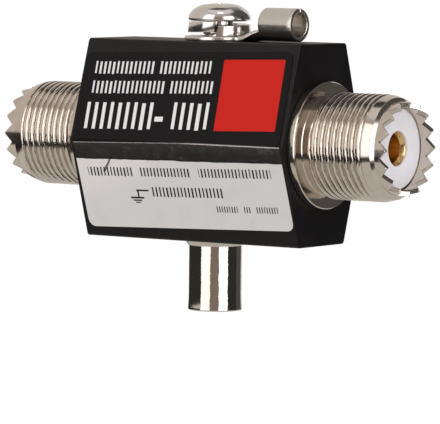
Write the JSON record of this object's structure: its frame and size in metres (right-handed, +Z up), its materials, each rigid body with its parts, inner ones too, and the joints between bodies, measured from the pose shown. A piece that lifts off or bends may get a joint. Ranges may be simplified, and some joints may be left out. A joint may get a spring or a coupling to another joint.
{
  "type": "coax lightning arrestor",
  "caption": "In-line coax lightning arrestor: six-sided black block with a threaded, toothed socket at each end, ground screw and ring lug on top and a screw cap below for the gas tube.",
  "frame": {"origin": "middle of the block, on the coax line", "axes": "+X along the coax line to the right socket, +Y to the back of the block, +Z up to the ground screw"},
  "size_m": [0.0694, 0.0215, 0.0462],
  "materials": {
    "black_body": "satin black paint",
    "label_foil": "printed foil, black upper half",
    "nickel_plate": "bright nickel plate",
    "polished_nickel": "polished nickel plate",
    "white_dielectric": "smooth white",
    "gold_plate": "gold plate",
    "bare_brass": "turned",
    "fired_ceramic": "fired alumina",
    "electrode_metal": "plated",
    "spring_steel": "drawn wire",
    "plated_steel": "bright plate",
    "tin_plate": "tinned sheet"
  },
  "bodies": {
    "housing": {"body": "black_body", "label": "label_foil", "right_shell": "nickel_plate", "left_shell": "nickel_plate", "right_insulator": "white_dielectric", "left_insulator": "white_dielectric", "right_retaining_ring": "nickel_plate", "left_retaining_ring": "nickel_plate", "right_contact": "gold_plate", "left_contact": "gold_plate", "inner_conductor": "bare_brass"},
    "ground_lug": {"ground_lug": "tin_plate"},
    "lock_washer": {"lock_washer": "plated_steel"},
    "ground_screw": {"ground_screw": "plated_steel"},
    "gas_tube": {"gas_tube_ceramic": "fired_ceramic", "gas_tube_top_electrode": "electrode_metal", "gas_tube_bottom_electrode": "electrode_metal", "tube_spring": "spring_steel"},
    "tube_cap": {"tube_cap": "polished_nickel"}
  },
  "joints": [
    {"name": "lug_swivel", "type": "hinge", "parent": "housing", "child": "ground_lug", "pos_m": [0.00055, 0, 0.015], "axis": [0, 0, 1], "continuous": true},
    {"name": "washer_lift", "type": "slide", "parent": "housing", "child": "lock_washer", "axis": [0, 0, 1], "range_m": [0, 0.005]},
    {"name": "screw_turn", "type": "hinge", "parent": "lock_washer", "child": "ground_screw", "pos_m": [0.00055, 0, 0.015], "axis": [0, 0, 1], "range_deg": [0, 2251]},
    {"name": "tube_drop", "type": "slide", "parent": "housing", "child": "gas_tube", "axis": [0, 0, -1], "range_m": [0, 0.008]},
    {"name": "cap_turn", "type": "hinge", "parent": "gas_tube", "child": "tube_cap", "pos_m": [0.00025, 0, -0.015], "axis": [0, 0, -1], "range_deg": [0, 3841]}
  ],
  "couplings": [
    {"joint": "screw_turn", "follows": "washer_lift", "rad_per_m": 7854},
    {"joint": "cap_turn", "follows": "tube_drop", "rad_per_m": 8377.6}
  ]
}
